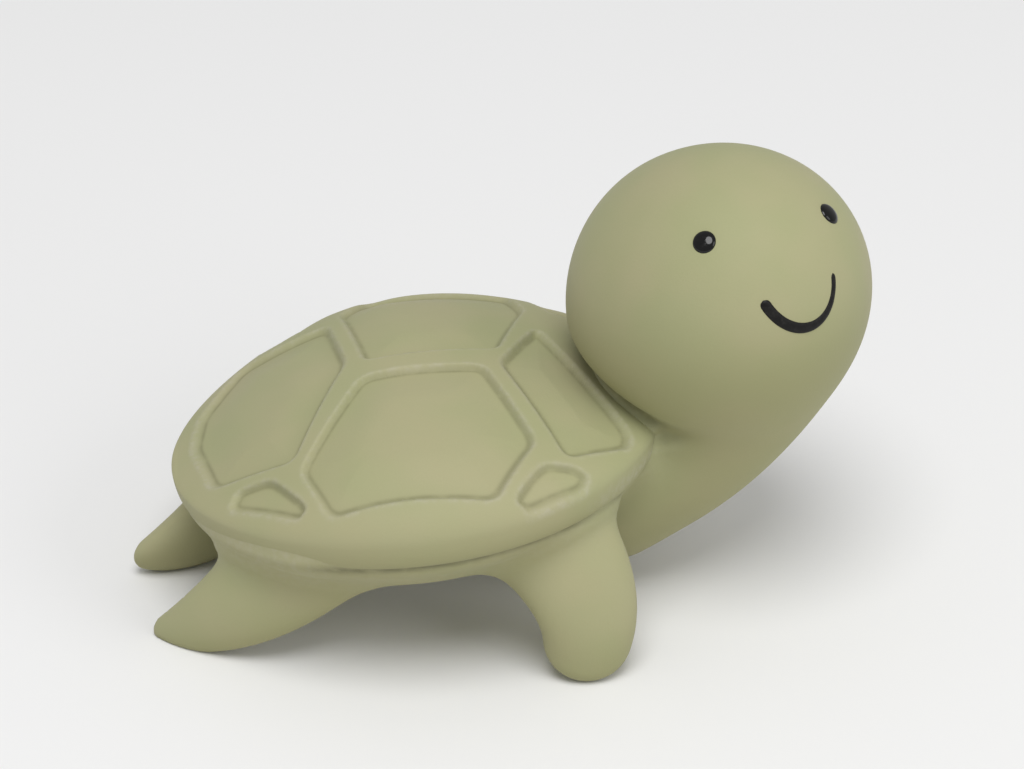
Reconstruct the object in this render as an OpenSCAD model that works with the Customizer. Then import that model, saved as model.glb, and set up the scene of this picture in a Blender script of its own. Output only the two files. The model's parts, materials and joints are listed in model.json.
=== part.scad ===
// Squeaky bath toy: a hollow rubber turtle on four flippers, with its head turned to its right.
// Lengths are in millimetres. X runs from tail to head, Y to the turtle's left, Z up from the floor.

/* [Shell] */
// Length of the shell, front to rear
shell_l = 85; // [75:1:95]
// Width of the shell
shell_w = 77; // [70:1:84]
// Height of the dome above the shell's widest line
dome_h = 14; // [12:0.5:18]
// Height of the turned-down edge below the widest line
rim_h = 4.5; // [3:0.5:6]
// Height of the widest line's middle above the floor
shell_z = 32; // [31:0.5:35]
// Nose-up tilt of the shell, degrees
shell_tilt = 6; // [3:1:8]
// Wall of the rubber skin
wall = 2.5; // [2:0.1:3]
// Depth of the sunk scutes
scute_depth = 0.8; // [0.4:0.1:1.2]
// Turn of the scute pattern about the shell's middle, degrees
scute_turn = -6; // [-10:1:4]
// Diameter of the crown that gives way under the thumb
crown_d = 56; // [50:1:60]
// How far the crown's middle lies behind the shell's middle
crown_x = 6; // [4:0.5:7]

/* [Belly] */
// Length of the belly where it leaves the shell
belly_l = 79; // [74:1:80]
// Width of the belly where it leaves the shell
belly_w = 69; // [65:1:71]
// Depth of the belly's flat sole below the shell's widest line
belly_h = 20; // [19:0.5:22]

/* [Head] */
// Width of the head
head_w = 51.4; // [48:0.2:55]
// Distance from the head's middle to the front of the face
face_l = 29.5; // [27:0.5:31]
// Head's middle ahead of the shell's middle
head_x = 50.9; // [48.9:0.2:52.9]
// Head's middle to the left of the shell's middle
head_y = 2; // [0:0.5:4]
// Head's middle above the shell's middle
head_z = 23.7; // [22.5:0.2:25.5]
// Turn of the face to the turtle's right, degrees
head_turn = 60; // [45:1:65]
// Lift of the face, degrees
head_lift = 36; // [28:1:42]
// Lean of the face towards its left, degrees
head_lean = 6.5; // [0:0.5:8]
// Diameter of the neck where it enters the shell
neck_d = 30; // [27:0.5:32]
// Diameter of the throat under the chin
throat_d = 40; // [36:0.5:42]

/* [Face] */
// Diameter of an eye
eye_d = 4; // [3:0.1:5]
// Height of an eye's dome above the skin
eye_h = 1.1; // [0.6:0.1:1.6]
// Thickness of the smile's line at its middle
smile_w = 1.7; // [1.2:0.1:2.4]
// Height of the smile's line above the skin
smile_h = 0.3; // [0.2:0.05:0.6]

/* [Flippers] */
// Width of a front flipper
front_w = 20; // [18:0.5:22]
// Thickness of a front flipper near its root
front_t = 13; // [10:0.5:15]
// Width of a hind flipper
hind_w = 20; // [18:0.5:22]
// Thickness of a hind flipper near its root
hind_t = 11; // [9:0.5:12]

/* [Squeaker] */
// Outer diameter of the squeaker's barrel
barrel_d = 13; // [12:0.2:14]
// Length of the barrel
barrel_l = 15; // [14.5:0.5:17]
// Wall of the barrel
barrel_wall = 1.7; // [1.4:0.1:1.8]
// Width of the barrel's snap flanges beyond the barrel
flange_w = 2; // [1.5:0.1:2.5]
// Thickness of the snap flanges
flange_t = 1.2; // [1:0.1:1.5]
// Outer diameter of the rubber collar round the barrel
collar_d = 24; // [22:0.5:27]
// Height of the rubber collar
collar_h = 6; // [5.5:0.25:7]
// Thickness of the sound cap
cap_t = 1.5; // [1.2:0.1:1.8]
// Diameter of the sound holes
sound_hole_d = 1.4; // [1:0.1:1.6]
// Thickness of the reed
reed_t = 0.2; // [0.15:0.05:0.3]
// Width of the reed
reed_w = 3.6; // [3:0.2:4]
// Free length of the reed
reed_free = 7; // [6:0.25:7.5]
// Width of the air channel behind the reed
channel_w = 2.2; // [1.8:0.1:2.6]
// Depth of the air channel behind the reed
channel_h = 2.4; // [1.8:0.1:2.8]

/* [Clearances] */
// Gap between skins that meet along a crease
crease_gap = 0.2; // [0.1:0.05:0.3]
// Gap round the crown that gives way
crown_gap = 0.4; // [0.3:0.05:0.6]
// Groove between the shell's front edge and the neck
groove_w = 1; // [0.8:0.1:1.5]
// Radial clearance of pieces pushed into the squeaker
push_gap = 0.05; // [0.03:0.01:0.1]
// Gap on each face of the reed where it is held
reed_gap = 0.3; // [0.25:0.01:0.35]

/* [Hidden] */
$fn = 120;
rubber = [0.66, 0.66, 0.51];
black = [0.05, 0.05, 0.05];
white_plastic = [0.9, 0.9, 0.88];
film = [0.8, 0.82, 0.84];
// Overrun of cutting shapes
over = 1;
shell_half = [shell_l / 2, shell_w / 2, shell_z];
// The shell's middle lies behind the toy's middle, so that the whole toy is centred on the origin
hind_reach_share = 1.2;
head_reach_share = 1.0235;
shell_x = (hind_reach_share * shell_half.x - head_x - head_reach_share * head_w / 2) / 2;
shell_mid = [shell_x, 0, shell_z];
head_mid = [head_x, head_y, head_z];

// Points along an outline or a spine

// Rounds each corner of a polygon, starting a cut of the given length from the corner
function unit(v) = v / norm(v);
function curve(p, t) = (1 - t) * (1 - t) * p[0] + 2 * t * (1 - t) * p[1] + t * t * p[2];
function soft_corners(p, cut, steps) = [
    for (i = [0:len(p) - 1])
        let (a = p[(i + len(p) - 1) % len(p)], b = p[i], c = p[(i + 1) % len(p)])
        for (k = [0:steps]) curve([b + cut * unit(a - b), b, b + cut * unit(c - b)], k / steps)];
function on_plan(shares) = [for (s = shares) [s.x * shell_half.x, s.y * shell_half.y]];
function flip(shares) = [for (i = [len(shares) - 1:-1:0]) [shares[i].x, -shares[i].y]];

// Triangles of a skin made of rings of points, each ring having n points, from ring a to ring a + 1
function ring_faces(n, rings, first = 0) = [
    for (r = [0:rings - 2], j = [0:n - 1])
        let (a = first + r * n + j, b = first + r * n + (j + 1) % n)
        for (f = [[a, b, a + n], [b, b + n, a + n]]) f];
function fan_faces(n, ring, tip) = [for (j = [0:n - 1]) [ring + (j + 1) % n, ring + j, tip]];

// Shell

// Scute outlines as shares of the shell's half length and half width
side_scute_shares = [[-0.205, 0.068], [0.32, 0.068], [0.505, 0.55], [0.35, 0.865], [-0.23, 0.895], [-0.41, 0.66]];
front_scute_shares = [[0.39, 0], [0.61, -0.57], [0.86, -0.4], [0.73, -0.3], [0.575, -0.01], [0.505, 0.22]];
rear_scute_shares = [[-0.28, 0], [-0.43, 0.545], [-0.8, 0.505], [-0.905, 0.235],
                     [-0.905, -0.235], [-0.8, -0.505], [-0.43, -0.545]];
rear_corner_shares = [[-0.705, 0.655], [-0.54, 0.66], [-0.4, 0.84]];
front_corner_shares = [[0.545, 0.655], [0.7, 0.635], [0.455, 0.84]];
scutes = [side_scute_shares, flip(side_scute_shares), front_scute_shares, rear_scute_shares,
          rear_corner_shares, flip(rear_corner_shares), front_corner_shares, flip(front_corner_shares)];
// Softened length at each scute corner, as a share of the shell's half width
scute_corner_share = 0.05;
scute_steps = 3;

module in_shell() { translate(shell_mid) rotate([0, -shell_tilt, 0]) children(); }

module dome(inset) {
    scale([shell_half.x - inset, shell_half.y - inset, dome_h - inset]) sphere(r = 1);
}

// Everything above a level of the shell's own frame
module above(level) {
    translate([-shell_l, -shell_w, level]) cube([2 * shell_l, 2 * shell_w, shell_l]);
}

module scute_cut() {
    difference() {
        rotate(scute_turn) for (s = scutes)
            linear_extrude(dome_h + over)
                polygon(soft_corners(on_plan(s), scute_corner_share * shell_half.y, scute_steps));
        dome(scute_depth);
    }
}

module crown_bound(d) {
    translate([-crown_x, 0, 0]) cylinder(h = dome_h + over, d = d);
}

module back_crown() {
    color(rubber) in_shell() difference() {
        intersection() {
            dome(0);
            crown_bound(crown_d);
        }
        dome(wall);
        scute_cut();
    }
}

module shell_rim() {
    color(rubber) difference() {
        in_shell() difference() {
            dome(0);
            dome(wall);
            mirror([0, 0, 1]) above(rim_h);
            crown_bound(crown_d + 2 * crown_gap);
            scute_cut();
        }
        translate(shell_mid) {
            neck_cut();
            nape_cut();
        }
    }
}

// Belly, with the collar that holds the squeaker

belly_mid = [-crown_x, 0, -belly_h];

module belly_bowl(inset) {
    translate([0, 0, -rim_h])
        scale([belly_l / 2 - inset, belly_w / 2 - inset, belly_h - rim_h + over - inset]) sphere(r = 1);
}

module belly_skin() {
    bore_d = barrel_d + 2 * push_gap;
    sink_d = barrel_d + 2 * (flange_w + push_gap);
    color(rubber) difference() {
        in_shell() difference() {
            union() {
                difference() {
                    belly_bowl(0);
                    belly_bowl(wall);
                }
                translate(belly_mid) cylinder(h = collar_h, d = collar_d);
            }
            above(-rim_h);
            mirror([0, 0, 1]) above(belly_h);
            translate(belly_mid - [0, 0, over]) cylinder(h = collar_h + 2 * over, d = bore_d);
            translate(belly_mid - [0, 0, over]) cylinder(h = flange_t + over, d = sink_d);
        }
        translate(shell_mid) {
            neck_cut();
            chest_cut();
        }
    }
}

// Head and neck, measured from the shell's middle

// Places along the neck, as shares of the head's place ahead of and above the shell's middle
neck_shares = [[0.63, -0.49], [0.9, -0.063], [1.01, 0.275], [1.05, 0.65]];
throat_shares = [0, 0.02, 0.15, 0.5];
neck_path = [for (s = neck_shares) [s.x * head_x, head_y, s.y * head_z]];
neck_r = [for (s = throat_shares) (neck_d + 2 * s * (throat_d - neck_d)) / 2];
// Softness of the joins between head and neck, as a share of the head's width
join_share = 0.07;
head_rings = 20;
head_sides = 36;
// Angle from the crown of the head to the neck's open end, degrees
neck_end_angle = 170;
head_axis = unit(head_mid - neck_path[0]);
head_side = unit(cross(head_axis, [0, 1, 0]));
head_cross = cross(head_axis, head_side);

function turn_z(v, a) = [v.x * cos(a) - v.y * sin(a), v.x * sin(a) + v.y * cos(a), v.z];
function turn_y(v, a) = [v.x * cos(a) + v.z * sin(a), v.y, v.z * cos(a) - v.x * sin(a)];
// A direction in the face's own frame: X the way it faces, Y to its left
function to_face(v) = turn_y(turn_z(v, head_turn), head_lift);
function head_depth(p) = let (f = to_face(p - head_mid), long = f.x > 0 ? face_l : head_w / 2)
    (norm([f.x / long, 2 * f.y / head_w, 2 * f.z / head_w]) - 1) * head_w / 2;
function limb_depth(p, a, b, ra, rb) =
    let (t = min(1, max(0, (p - a) * (b - a) / ((b - a) * (b - a)))))
    norm(p - a - t * (b - a)) - (ra + t * (rb - ra));
function soft_min(a, b, k) = let (h = min(1, max(0, 0.5 + (b - a) / (2 * k)))) b + (a - b) * h - k * h * (1 - h);
function neck_depth(p) = min([for (i = [0:len(neck_path) - 2])
    limb_depth(p, neck_path[i], neck_path[i + 1], neck_r[i], neck_r[i + 1])]);
function skin_depth(p) = soft_min(head_depth(p), neck_depth(p), join_share * head_w);
// Distance from the head's middle to the skin, found by halving
function skin_reach(dir, inset, low, high, steps = 18) =
    let (mid = (low + high) / 2)
    steps == 0 ? mid :
    skin_depth(head_mid + mid * dir) + inset < 0 ? skin_reach(dir, inset, mid, high, steps - 1)
                                                 : skin_reach(dir, inset, low, mid, steps - 1);
function head_dir(ring, j) =
    let (polar = neck_end_angle * ring / head_rings, a = 360 * j / head_sides)
    cos(polar) * head_axis + sin(polar) * (cos(a) * head_side + sin(a) * head_cross);
function head_ring(ring, inset) = [for (j = [0:head_sides - 1])
    let (d = head_dir(ring, j)) head_mid + skin_reach(d, inset, 0, 2 * head_w) * d];

module head_skin() {
    rings = [for (r = [1:head_rings]) head_ring(r, 0)];
    linings = [for (r = [head_rings:-1:1]) head_ring(r, wall)];
    poles = [for (inset = [0, wall]) head_mid + skin_reach(head_axis, inset, 0, 2 * head_w) * head_axis];
    points = [for (r = concat(rings, linings)) for (p = r) p];
    count = len(points);
    faces = concat(ring_faces(head_sides, 2 * head_rings),
                   fan_faces(head_sides, 0, count),
                   [for (f = fan_faces(head_sides, count - head_sides, count + 1)) [f[1], f[0], f[2]]]);
    color(rubber) translate(shell_mid) polyhedron(concat(points, poles), faces);
}

// A cone that stands between two places
module limb(a, b, ra, rb) {
    v = b - a;
    translate(a) rotate([0, acos(v.z / norm(v)), atan2(v.y, v.x)]) cylinder(h = norm(v), r1 = ra, r2 = rb);
}

module in_face() {
    translate(head_mid) rotate([0, 0, -head_turn]) rotate([0, -head_lift, 0]) children();
}

// Room for the neck in the shell and the belly
module neck_cut() {
    through = neck_path[0] + shell_l / 2 * unit(neck_path[1] - neck_path[0]);
    limb(neck_path[0], through, neck_r[0] + groove_w, neck_r[3] + groove_w);
}

// Room for the neck's round end in the belly
module chest_cut() { translate(neck_path[0]) sphere(r = neck_r[0] + groove_w); }

// Room for the back of the head above the shell's front edge
module nape_cut() { translate(head_mid) sphere(r = head_w / 2 + groove_w); }

// Face, in the face's own frame

eye_turn = 24.2;
eye_lift = 14;
// Turn of the eyes' middle line from the front of the face, degrees
eye_aside = -7;
// Turns and lifts of the four places that shape the smile's stroke, degrees
smile_turns = [-18.1, -14.3, 6.9, 9.2];
smile_lifts = [-8.7, -24.5, -27.2, -6.8];
// The line is thinner at the left end, as shares of its middle thickness
smile_shares = [1.1, 1, 0.95, 0.8, 0.45];
smile_steps = 20;
smile_sides = 8;
// How deep the face's pieces sit in the skin, as a share of the wall
seat_share = 0.2;
eye_fn = 48;

function face_dir(turn, lift) = [cos(lift) * cos(turn), cos(lift) * sin(turn), sin(lift)];
function lean(v, a) = [v.x, v.y * cos(a) + v.z * sin(a), v.z * cos(a) - v.y * sin(a)];
function on_face(v) = v / norm([v.x / face_l, 2 * v.y / head_w, 2 * v.z / head_w]);
function face_normal(p) = unit([p.x / pow(2 * face_l, 2), p.y / pow(head_w, 2), p.z / pow(head_w, 2)]);

module eye(side) {
    p = on_face(lean(face_dir(eye_aside + side * eye_turn, eye_lift), head_lean));
    n = face_normal(p);
    sunk = seat_share * wall;
    color(black) translate(shell_mid) in_face()
        translate(p - sunk * n) rotate([0, acos(n.z), atan2(n.y, n.x)]) difference() {
            scale([eye_d / 2, eye_d / 2, eye_h + sunk]) sphere(r = 1, $fn = eye_fn);
            translate([-eye_d, -eye_d, -2 * eye_d]) cube(2 * eye_d);
        }
}

module right_eye() { eye(-1); }
module left_eye() { eye(1); }

// A value along a stroke that four values shape
function stroke(v, s) = (1 - s) * curve([v[0], v[1], v[2]], s) + s * curve([v[1], v[2], v[3]], s);
function smile_at(s) = on_face(face_dir(stroke(smile_turns, s), stroke(smile_lifts, s)));
function smile_half(s) = smile_w / 2 * lookup(s, [for (i = [0:len(smile_shares) - 1])
    [i / (len(smile_shares) - 1), smile_shares[i]]]);
function smile_ring(s) =
    let (step = 1 / smile_steps, p = smile_at(s), n = face_normal(p),
         along = unit(smile_at(s + step) - smile_at(s - step)), across = cross(n, along))
    [for (j = [0:smile_sides - 1]) let (a = 360 * j / smile_sides)
        p + smile_half(s) * cos(a) * across + smile_h * sin(a) * n];

module smile() {
    points = [for (i = [0:smile_steps]) for (p = smile_ring(i / smile_steps)) p];
    ends = [for (s = [0, 1], k = [s == 0 ? -1 : 1])
        smile_at(s) + k * smile_half(s) * unit(smile_at(s + 1 / smile_steps) - smile_at(s - 1 / smile_steps))];
    last = len(points) - smile_sides;
    faces = concat(ring_faces(smile_sides, smile_steps + 1),
                   fan_faces(smile_sides, 0, len(points)),
                   [for (f = fan_faces(smile_sides, last, len(points) + 1)) [f[1], f[0], f[2]]]);
    color(black) translate(shell_mid) in_face()
        polyhedron(concat(points, ends), [for (f = faces) [f[2], f[1], f[0]]]);
}

// Flippers: paddles along a bent spine, rooted on the belly

// Spines from root to tip, as shares of the shell's half length, half width and height above the floor
front_spine_shares = [[0.45, 0.57, -0.19], [0.66, 0.78, -0.44], [0.635, 0.79, -1.06]];
hind_right_spine_shares = [[-0.4, 0.52, -0.25], [-0.755, 0.6, -0.62], [-1.12, 0.28, -1.04]];
hind_left_spine_shares = [[-0.4, 0.47, -0.25], [-0.8, 0.42, -0.69], [-1.19, 0.16, -1.04]];
// Flat faces look outward: directions of the paddles' thickness
front_facing = [0.15, 1, 0.15];
hind_facing = [-0.3, 0.93, 0.35];
// Width and thickness from root to tip, as shares of the paddle's own sizes
front_width_shares = [1.05, 1.01, 0.97, 0.95, 0.9];
front_thick_shares = [1.15, 1, 0.85, 0.75, 0.65];
hind_width_shares = [1.05, 1, 0.95, 0.85, 0.72];
hind_thick_shares = [1.2, 1, 0.8, 0.65, 0.5];
// Where along a spine the rounded tip begins
tip_share = 0.72;
flipper_rings = 14;
flipper_sides = 20;
root_rings = 2;
tip_limit_share = 0.985;
// Share of a spine between the places that give its direction
step_share = 0.01;

function part_way(shares, t) = lookup(t, [for (i = [0:len(shares) - 1]) [i / (len(shares) - 1), shares[i]]]);
function tip_round(t) = t < tip_share ? 1 : sqrt(1 - pow((t - tip_share) / (1 - tip_share), 2));
function paddle_point(spine, facing, w, t, widths, thicks, s, a) =
    let (along = unit(curve(spine, min(1, s + step_share)) - curve(spine, s - step_share)),
         across = unit(cross(facing, along)), out = cross(along, across))
    curve(spine, s) + tip_round(s) * (w / 2 * part_way(widths, s) * cos(a) * across
                                      + t / 2 * part_way(thicks, s) * sin(a) * out);
// Share of the belly's size at which a place lies: 1 on its skin
function belly_share(p) = let (v = turn_y(p, shell_tilt) + [0, 0, rim_h])
    norm([v.x / (belly_l / 2 + crease_gap), v.y / (belly_w / 2 + crease_gap), v.z / (belly_h - rim_h + over + crease_gap)]);
function on_belly(p) = let (v = turn_y(p, shell_tilt) + [0, 0, rim_h])
    turn_y(v / belly_share(p) - [0, 0, rim_h], -shell_tilt);

module paddle(spine, facing, w, t, widths, thicks) {
    function at(s, a) = paddle_point(spine, facing, w, t, widths, thicks, s, a);
    // Where each side line leaves the belly, found by halving
    function root(a, low = 0, high = 1, steps = 16) =
        let (mid = (low + high) / 2)
        steps == 0 ? high : belly_share(at(mid, a)) < 1 ? root(a, mid, high, steps - 1) : root(a, low, mid, steps - 1);
    turns = [for (j = [0:flipper_sides - 1]) 360 * j / flipper_sides];
    roots = [for (a = turns) root(a)];
    seat = [for (j = [0:flipper_sides - 1]) at(roots[j], turns[j])];
    heart = on_belly([for (k = [0:2]) [for (p = seat) p[k]] * [for (p = seat) 1] / flipper_sides]);
    root_skin = [for (r = [1:root_rings]) for (p = seat) on_belly(heart + (p - heart) * r / (root_rings + 1))];
    side_skin = [for (r = [0:flipper_rings]) for (j = [0:flipper_sides - 1])
        at(roots[j] + (tip_limit_share - roots[j]) * r / flipper_rings, turns[j])];
    points = concat(root_skin, side_skin, [heart, curve(spine, 1)]);
    rings = root_rings + flipper_rings + 1;
    count = rings * flipper_sides;
    faces = concat(ring_faces(flipper_sides, rings),
                   fan_faces(flipper_sides, 0, count),
                   [for (f = fan_faces(flipper_sides, count - flipper_sides, count + 1)) [f[1], f[0], f[2]]]);
    polyhedron(points, [for (f = faces) [f[2], f[1], f[0]]]);
}

module flipper(spine_shares, facing, w, t, widths, thicks) {
    spine = [for (s = spine_shares) [s.x * shell_half.x, s.y * shell_half.y, s.z * shell_half.z]];
    color(rubber) difference() {
        translate(shell_mid) paddle(spine, facing, w, t, widths, thicks);
        mirror([0, 0, 1]) translate([-shell_l, -shell_w, 0]) cube([2 * shell_l, 2 * shell_w, shell_z]);
        in_shell() above(-rim_h - crease_gap);
    }
}

module front_left_flipper() {
    flipper(front_spine_shares, front_facing, front_w, front_t, front_width_shares, front_thick_shares);
}
module front_right_flipper() { mirror([0, 1, 0]) front_left_flipper(); }
module hind_left_flipper() {
    flipper(hind_left_spine_shares, hind_facing, hind_w, hind_t, hind_width_shares, hind_thick_shares);
}
module hind_right_flipper() {
    mirror([0, 1, 0])
        flipper(hind_right_spine_shares, hind_facing, hind_w, hind_t, hind_width_shares, hind_thick_shares);
}

// Squeaker: a barrel snapped into the collar, with its reed clamped inside

barrel_bore = barrel_d - 2 * barrel_wall;
cap_seat_share = 0.5;
cap_bore = barrel_bore + 2 * cap_seat_share * barrel_wall;
cap_gap = 0.2;
insert_d = barrel_bore - 2 * push_gap;
insert_foot = cap_gap + cap_t + flange_t;
insert_l = barrel_l - insert_foot;
clamp_l = insert_l - reed_free - flange_t;
sound_holes = 6;
ring_share = 0.62;

// The squeaker stands on the belly's sole, its barrel along Z
module in_squeaker() { in_shell() translate(belly_mid) children(); }

module squeaker_barrel() {
    color(white_plastic) in_squeaker() difference() {
        union() {
            cylinder(h = barrel_l, d = barrel_d);
            cylinder(h = flange_t, d = barrel_d + 2 * flange_w);
            translate([0, 0, collar_h + push_gap]) cylinder(h = flange_t, d1 = barrel_d + 2 * flange_w, d2 = barrel_d);
        }
        translate([0, 0, -over]) cylinder(h = barrel_l + 2 * over, d = barrel_bore);
        translate([0, 0, -over]) cylinder(h = cap_gap + cap_t + over, d = cap_bore);
    }
}

module sound_cap() {
    color(white_plastic) in_squeaker() translate([0, 0, cap_gap]) difference() {
        cylinder(h = cap_t, d = cap_bore - 2 * push_gap);
        for (i = [0:sound_holes]) rotate(360 * i / sound_holes)
            translate([i == sound_holes ? 0 : ring_share * barrel_bore / 2, 0, -over])
                cylinder(h = cap_t + 2 * over, d = sound_hole_d, $fn = 32);
    }
}

// Half of the insert that fills the barrel's bore, on one side of the reed
module insert_half(side, length) {
    intersection() {
        cylinder(h = length, d = insert_d);
        translate([-insert_d, side > 0 ? reed_t / 2 + reed_gap : -insert_d - reed_t / 2 - reed_gap, 0])
            cube([2 * insert_d, insert_d, length]);
    }
}

module reed_seat() {
    color(white_plastic) in_squeaker() translate([0, 0, insert_foot]) difference() {
        insert_half(1, insert_l);
        translate([-channel_w / 2, 0, -over])
            cube([channel_w, channel_h, insert_l - clamp_l - flange_t + over]);
    }
}

module reed_clamp() {
    color(white_plastic) in_squeaker() translate([0, 0, barrel_l - clamp_l]) insert_half(-1, clamp_l);
}

// The reed's root reaches a little way into the gap between seat and clamp
reed_root_share = 0.3;

module reed() {
    root = reed_root_share * clamp_l;
    color(film) in_squeaker() translate([-reed_w / 2, -reed_t / 2, barrel_l - clamp_l - reed_free])
        cube([reed_w, reed_t, reed_free + root]);
}

back_crown();
shell_rim();
belly_skin();
head_skin();
front_right_flipper();
front_left_flipper();
hind_right_flipper();
hind_left_flipper();
right_eye();
left_eye();
smile();
squeaker_barrel();
sound_cap();
reed_seat();
reed_clamp();
reed();
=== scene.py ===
# %% [markdown]
# # A squeaky bath turtle
# The toy is one hollow moulding of soft sage rubber, with two painted eyes, a painted smile and a squeaker
# pushed into its belly. The imported frame holds every piece in metres, and the looks made here sit over its
# pieces.

# %% Load the frame
import json
import math

import bmesh
import bpy
from mathutils import Matrix, Vector
from mathutils.bvhtree import BVHTree


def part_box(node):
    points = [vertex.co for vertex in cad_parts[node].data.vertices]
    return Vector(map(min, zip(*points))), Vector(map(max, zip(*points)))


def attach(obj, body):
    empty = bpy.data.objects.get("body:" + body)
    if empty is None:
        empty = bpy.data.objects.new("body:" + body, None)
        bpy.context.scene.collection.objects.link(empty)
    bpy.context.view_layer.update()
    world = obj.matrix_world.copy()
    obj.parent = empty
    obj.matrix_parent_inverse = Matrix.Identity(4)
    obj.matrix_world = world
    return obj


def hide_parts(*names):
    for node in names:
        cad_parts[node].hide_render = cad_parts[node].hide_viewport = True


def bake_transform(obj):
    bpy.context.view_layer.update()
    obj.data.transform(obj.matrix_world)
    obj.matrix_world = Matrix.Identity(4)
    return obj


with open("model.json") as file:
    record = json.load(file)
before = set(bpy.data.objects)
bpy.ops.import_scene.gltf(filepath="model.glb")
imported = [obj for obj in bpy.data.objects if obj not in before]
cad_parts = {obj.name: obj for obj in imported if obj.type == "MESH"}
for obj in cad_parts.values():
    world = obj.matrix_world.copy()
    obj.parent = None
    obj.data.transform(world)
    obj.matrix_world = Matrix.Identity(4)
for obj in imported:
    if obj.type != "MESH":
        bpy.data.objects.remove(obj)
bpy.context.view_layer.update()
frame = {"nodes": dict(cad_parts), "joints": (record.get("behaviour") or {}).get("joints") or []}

MM = 0.001

# %% [markdown]
# The back is pressed straight into the shell, so the joint's axis is also the shell's own down direction.
# The shell is tilted by that axis, and its middle is found from the rim's box. All shapes below are written
# in millimetres from that middle, and only the last step of each turns them into the frame's metres.

# %% The shell's own frame
HALF_LENGTH = 42.5
HALF_WIDTH = 38.5
DOME_HEIGHT = 14.0
FLOOR_DROP = 32.0
press = next(joint for joint in frame["joints"] if joint["name"] == "back_press")
shell_up = -Vector(press["axis"]).normalized()
shell_ahead = Vector((shell_up.z, 0, -shell_up.x))
rim_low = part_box("shell_rim")[0]
rear_reach = math.hypot(HALF_LENGTH * shell_ahead.x, DOME_HEIGHT * shell_up.x)
shell_mid = Vector((rim_low.x + rear_reach * MM, 0, FLOOR_DROP * MM))
print("shell middle in mm:", [round(v / MM, 2) for v in shell_mid])

# %% [markdown]
# Both materials and Geometry Nodes are graphs of small sums. Wiring Math nodes by hand is slow and hard to
# read, so one class wraps a socket and lets Python's own operators add the nodes. A sum with a vector in it
# becomes a Vector Math node, and any other kind of node comes from the one method called node.

# %% Sums on sockets
def is_vector(value):
    if isinstance(value, Socket):
        return value.link.type == "VECTOR"
    return not isinstance(value, (int, float))


def spread(value):
    """A number as a vector of three equal numbers, so that it can scale a vector."""
    return (value,) * 3 if isinstance(value, (int, float)) else value


class Socket:
    """A node's output that can be used in sums: each sum adds a node to its tree."""

    def __init__(self, tree, link):
        self.tree = tree
        self.link = link

    def node(self, kind, settings=None, sockets=None, out=0):
        """Adds a node of any kind: its settings come first, then its sockets' values or links."""
        made = self.tree.nodes.new(kind)
        for name, value in (settings or {}).items():
            setattr(made, name, value)
        for name, value in (sockets or {}).items():
            if isinstance(value, Socket):
                self.tree.links.new(value.link, made.inputs[name])
            else:
                made.inputs[name].default_value = value
        return Socket(self.tree, made.outputs[out])

    def math(self, operation, *values):
        return self.node("ShaderNodeMath", {"operation": operation}, dict(enumerate((self,) + values)))

    def vector(self, operation, *values, out=0):
        sockets = dict(enumerate((self,) + values))
        return self.node("ShaderNodeVectorMath", {"operation": operation}, sockets, out)

    def join(self, operation, a, b):
        """One sum of two values, either of which may be a plain number or vector."""
        if is_vector(a) or is_vector(b):
            sockets = {0: spread(a), 1: spread(b)}
            return self.node("ShaderNodeVectorMath", {"operation": operation}, sockets)
        return self.node("ShaderNodeMath", {"operation": operation}, {0: a, 1: b})

    def __add__(self, other):
        return self.join("ADD", self, other)

    def __radd__(self, other):
        return self.join("ADD", other, self)

    def __sub__(self, other):
        return self.join("SUBTRACT", self, other)

    def __rsub__(self, other):
        return self.join("SUBTRACT", other, self)

    def __mul__(self, other):
        return self.join("MULTIPLY", self, other)

    def __rmul__(self, other):
        return self.join("MULTIPLY", other, self)

    def __truediv__(self, other):
        return self.join("DIVIDE", self, other)

    def __rtruediv__(self, other):
        return self.join("DIVIDE", other, self)

    def dot(self, other):
        return self.vector("DOT_PRODUCT", other, out="Value")

    def length(self):
        return self.vector("LENGTH", out="Value")

    def unit(self):
        return self.vector("NORMALIZE")

    def part(self, axis):
        """One of a vector's three numbers, by its letter."""
        return self.node("ShaderNodeSeparateXYZ", sockets={0: self}, out="XYZ".index(axis))

    def xyz(self, x, y, z):
        return self.node("ShaderNodeCombineXYZ", sockets={"X": x, "Y": y, "Z": z})

    def clip(self):
        """The value kept between 0 and 1."""
        return self.node("ShaderNodeClamp", sockets={"Value": self})

    def most(self, other):
        return self.math("MAXIMUM", other)

    def least(self, other):
        return self.math("MINIMUM", other)

    def soft_union(self, other, soft):
        return self.math("SMOOTH_MIN", other, soft)

    def soft_cut(self, other, soft):
        return self.math("SMOOTH_MAX", other, soft)

    def rise(self, low, high):
        """0 at low, 1 at high, with a smooth step between them. Low may be the larger of the two."""
        return self.node("ShaderNodeMapRange", {"interpolation_type": "SMOOTHSTEP"},
                         {"Value": self, "From Min": low, "From Max": high})

    def bell(self, width):
        """1 where the value is zero, falling off on both sides within about the width."""
        share = self / width
        return (share * share * -1.0).math("EXPONENT")


print("sums on sockets are ready")

# %% [markdown]
# A Geometry Nodes tree is made in the script, run once on an empty object and turned into a plain mesh. Its
# sizes are named inputs, set through each socket's identifier, because names are only labels. The tree ends
# in Realize Instances and Set Material, so that the mesh is whole and already has its finish.

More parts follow.
